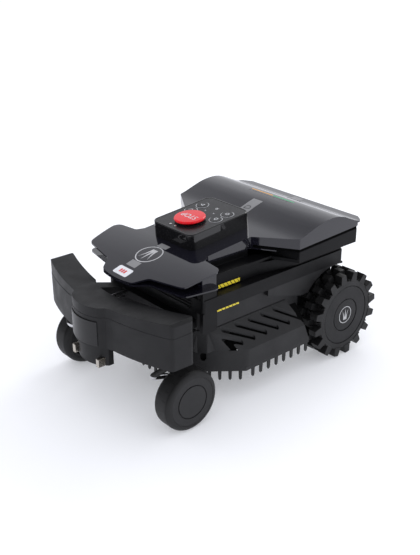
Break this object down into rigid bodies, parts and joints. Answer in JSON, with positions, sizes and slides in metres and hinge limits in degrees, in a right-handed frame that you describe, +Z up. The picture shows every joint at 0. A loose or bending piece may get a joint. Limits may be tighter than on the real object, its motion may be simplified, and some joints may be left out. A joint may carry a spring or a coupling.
{
  "type": "robotic lawn mower",
  "caption": "Battery robotic lawn mower with lugged drive wheels, swivelling front casters, sprung bumper, star blade under a slotted deck and a lift-off power unit.",
  "frame": {"origin": "on the floor under the middle of the overall box", "axes": "+Z up, front towards -Y, the mower's left side towards +X"},
  "size_m": [0.3734, 0.6, 0.317],
  "materials": {
    "deck_plastic": "fine moulded texture",
    "comb_plastic": "matt",
    "body_plastic": "fine moulded texture",
    "cover_gloss": "high gloss",
    "case_gloss": "gloss",
    "panel_satin": "satin",
    "key_satin": "satin",
    "panel_smooth": "smooth satin",
    "bumper_plastic": "fine moulded texture",
    "tyre_rubber": "rubber",
    "caster_rubber": "rubber",
    "buffer_rubber": "rubber",
    "hub_plastic": "satin",
    "rim_plastic": "satin",
    "arm_polished": "polished",
    "steel": "bright",
    "blade_steel": "ground",
    "bush_brass": "turned",
    "motor_metal": "painted",
    "contact_nickel": "nickel plated",
    "battery_wrap": "shrink wrap",
    "board_green": "solder mask",
    "strip_yellow": "printed film",
    "button_red": "gloss"
  },
  "bodies": {
    "chassis": {"lower_shell": "deck_plastic", "comb_left": "comb_plastic", "comb_right": "comb_plastic", "comb_front": "comb_plastic", "body_frame": "body_plastic", "upper_casing": "body_plastic", "top_cover": "cover_gloss", "dock_socket": "body_plastic", "gearmotor_left": "motor_metal", "gearmotor_right": "motor_metal", "front_axle_beam": "body_plastic", "bumper_guides": "steel", "bumper_buffers": "buffer_rubber", "caster_bush_left": "bush_brass", "caster_bush_right": "bush_brass", "carriage_guides": "steel", "marker_strips_upper": "strip_yellow", "marker_strips_lower": "strip_yellow"},
    "bumper": {"bumper_body": "bumper_plastic", "bumper_cap": "bumper_plastic", "bumper_face": "panel_smooth", "charge_contact_left": "contact_nickel", "charge_contact_right": "contact_nickel"},
    "cutter": {"height_carriage": "body_plastic", "blade_motor": "motor_metal"},
    "blade": {"blade_hub": "steel", "star_blade": "blade_steel", "blade_nut": "steel"},
    "power_unit": {"power_case": "case_gloss", "power_base": "body_plastic", "battery_pack": "battery_wrap", "control_board": "board_green", "dock_plug": "contact_nickel", "control_panel": "panel_satin", "rain_contacts": "steel"},
    "stop": {"stop_button": "button_red"},
    "caster_swivel_left": {"caster_arm_left": "arm_polished"},
    "caster_wheel_left": {"caster_tyre_left": "caster_rubber", "caster_rim_left": "rim_plastic", "caster_cap_left": "rim_plastic"},
    "drive_wheel_left": {"drive_tyre_left": "tyre_rubber", "drive_hub_left": "hub_plastic", "hub_cap_left": "hub_plastic", "drive_shaft_left": "steel"},
    "key_front_left": {"key_front_left": "key_satin"},
    "key_rear_left": {"key_rear_left": "key_satin"},
    "caster_swivel_right": {"caster_arm_right": "arm_polished"},
    "caster_wheel_right": {"caster_tyre_right": "caster_rubber", "caster_rim_right": "rim_plastic", "caster_cap_right": "rim_plastic"},
    "drive_wheel_right": {"drive_tyre_right": "tyre_rubber", "drive_hub_right": "hub_plastic", "hub_cap_right": "hub_plastic", "drive_shaft_right": "steel"},
    "key_front_right": {"key_front_right": "key_satin"},
    "key_rear_right": {"key_rear_right": "key_satin"}
  },
  "joints": [
    {"name": "bumper_push", "type": "slide", "parent": "chassis", "child": "bumper", "axis": [0, 1, 0], "range_m": [0, 0.007], "stiffness_N_per_m": 900, "springref_m": -0.006},
    {"name": "cutting_height", "type": "slide", "parent": "chassis", "child": "cutter", "axis": [0, 0, 1], "range_m": [-0.018, 0.018]},
    {"name": "blade_spin", "type": "hinge", "parent": "cutter", "child": "blade", "pos_m": [0, -0.01, 0.048], "axis": [0, 0, 1], "continuous": true},
    {"name": "power_unit_lift", "type": "slide", "parent": "chassis", "child": "power_unit", "axis": [0, -0.0936, 0.9956], "range_m": [0, 0.09]},
    {"name": "stop_press", "type": "slide", "parent": "power_unit", "child": "stop", "axis": [0, 0.0936, -0.9956], "range_m": [0, 0.004], "stiffness_N_per_m": 500, "springref_m": -0.002},
    {"name": "caster_swivel_left", "type": "hinge", "parent": "chassis", "child": "caster_swivel_left", "pos_m": [0.1589, -0.224, 0.16], "axis": [0, 0, 1], "continuous": true},
    {"name": "caster_roll_left", "type": "hinge", "parent": "caster_swivel_left", "child": "caster_wheel_left", "pos_m": [0.1589, -0.1934, 0.057], "axis": [1, 0, 0], "continuous": true},
    {"name": "drive_roll_left", "type": "hinge", "parent": "chassis", "child": "drive_wheel_left", "pos_m": [0.1475, 0.21, 0.09], "axis": [1, 0, 0], "continuous": true},
    {"name": "key_front_left_press", "type": "slide", "parent": "power_unit", "child": "key_front_left", "axis": [0, 0.0936, -0.9956], "range_m": [0, 0.0009], "stiffness_N_per_m": 600, "springref_m": -0.0006},
    {"name": "key_rear_left_press", "type": "slide", "parent": "power_unit", "child": "key_rear_left", "axis": [0, 0.0936, -0.9956], "range_m": [0, 0.0009], "stiffness_N_per_m": 600, "springref_m": -0.0006},
    {"name": "caster_swivel_right", "type": "hinge", "parent": "chassis", "child": "caster_swivel_right", "pos_m": [-0.1589, -0.224, 0.16], "axis": [0, 0, 1], "continuous": true},
    {"name": "caster_roll_right", "type": "hinge", "parent": "caster_swivel_right", "child": "caster_wheel_right", "pos_m": [-0.1589, -0.1934, 0.057], "axis": [1, 0, 0], "continuous": true},
    {"name": "drive_roll_right", "type": "hinge", "parent": "chassis", "child": "drive_wheel_right", "pos_m": [-0.1475, 0.21, 0.09], "axis": [1, 0, 0], "continuous": true},
    {"name": "key_front_right_press", "type": "slide", "parent": "power_unit", "child": "key_front_right", "axis": [0, 0.0936, -0.9956], "range_m": [0, 0.0009], "stiffness_N_per_m": 600, "springref_m": -0.0006},
    {"name": "key_rear_right_press", "type": "slide", "parent": "power_unit", "child": "key_rear_right", "axis": [0, 0.0936, -0.9956], "range_m": [0, 0.0009], "stiffness_N_per_m": 600, "springref_m": -0.0006}
  ]
}
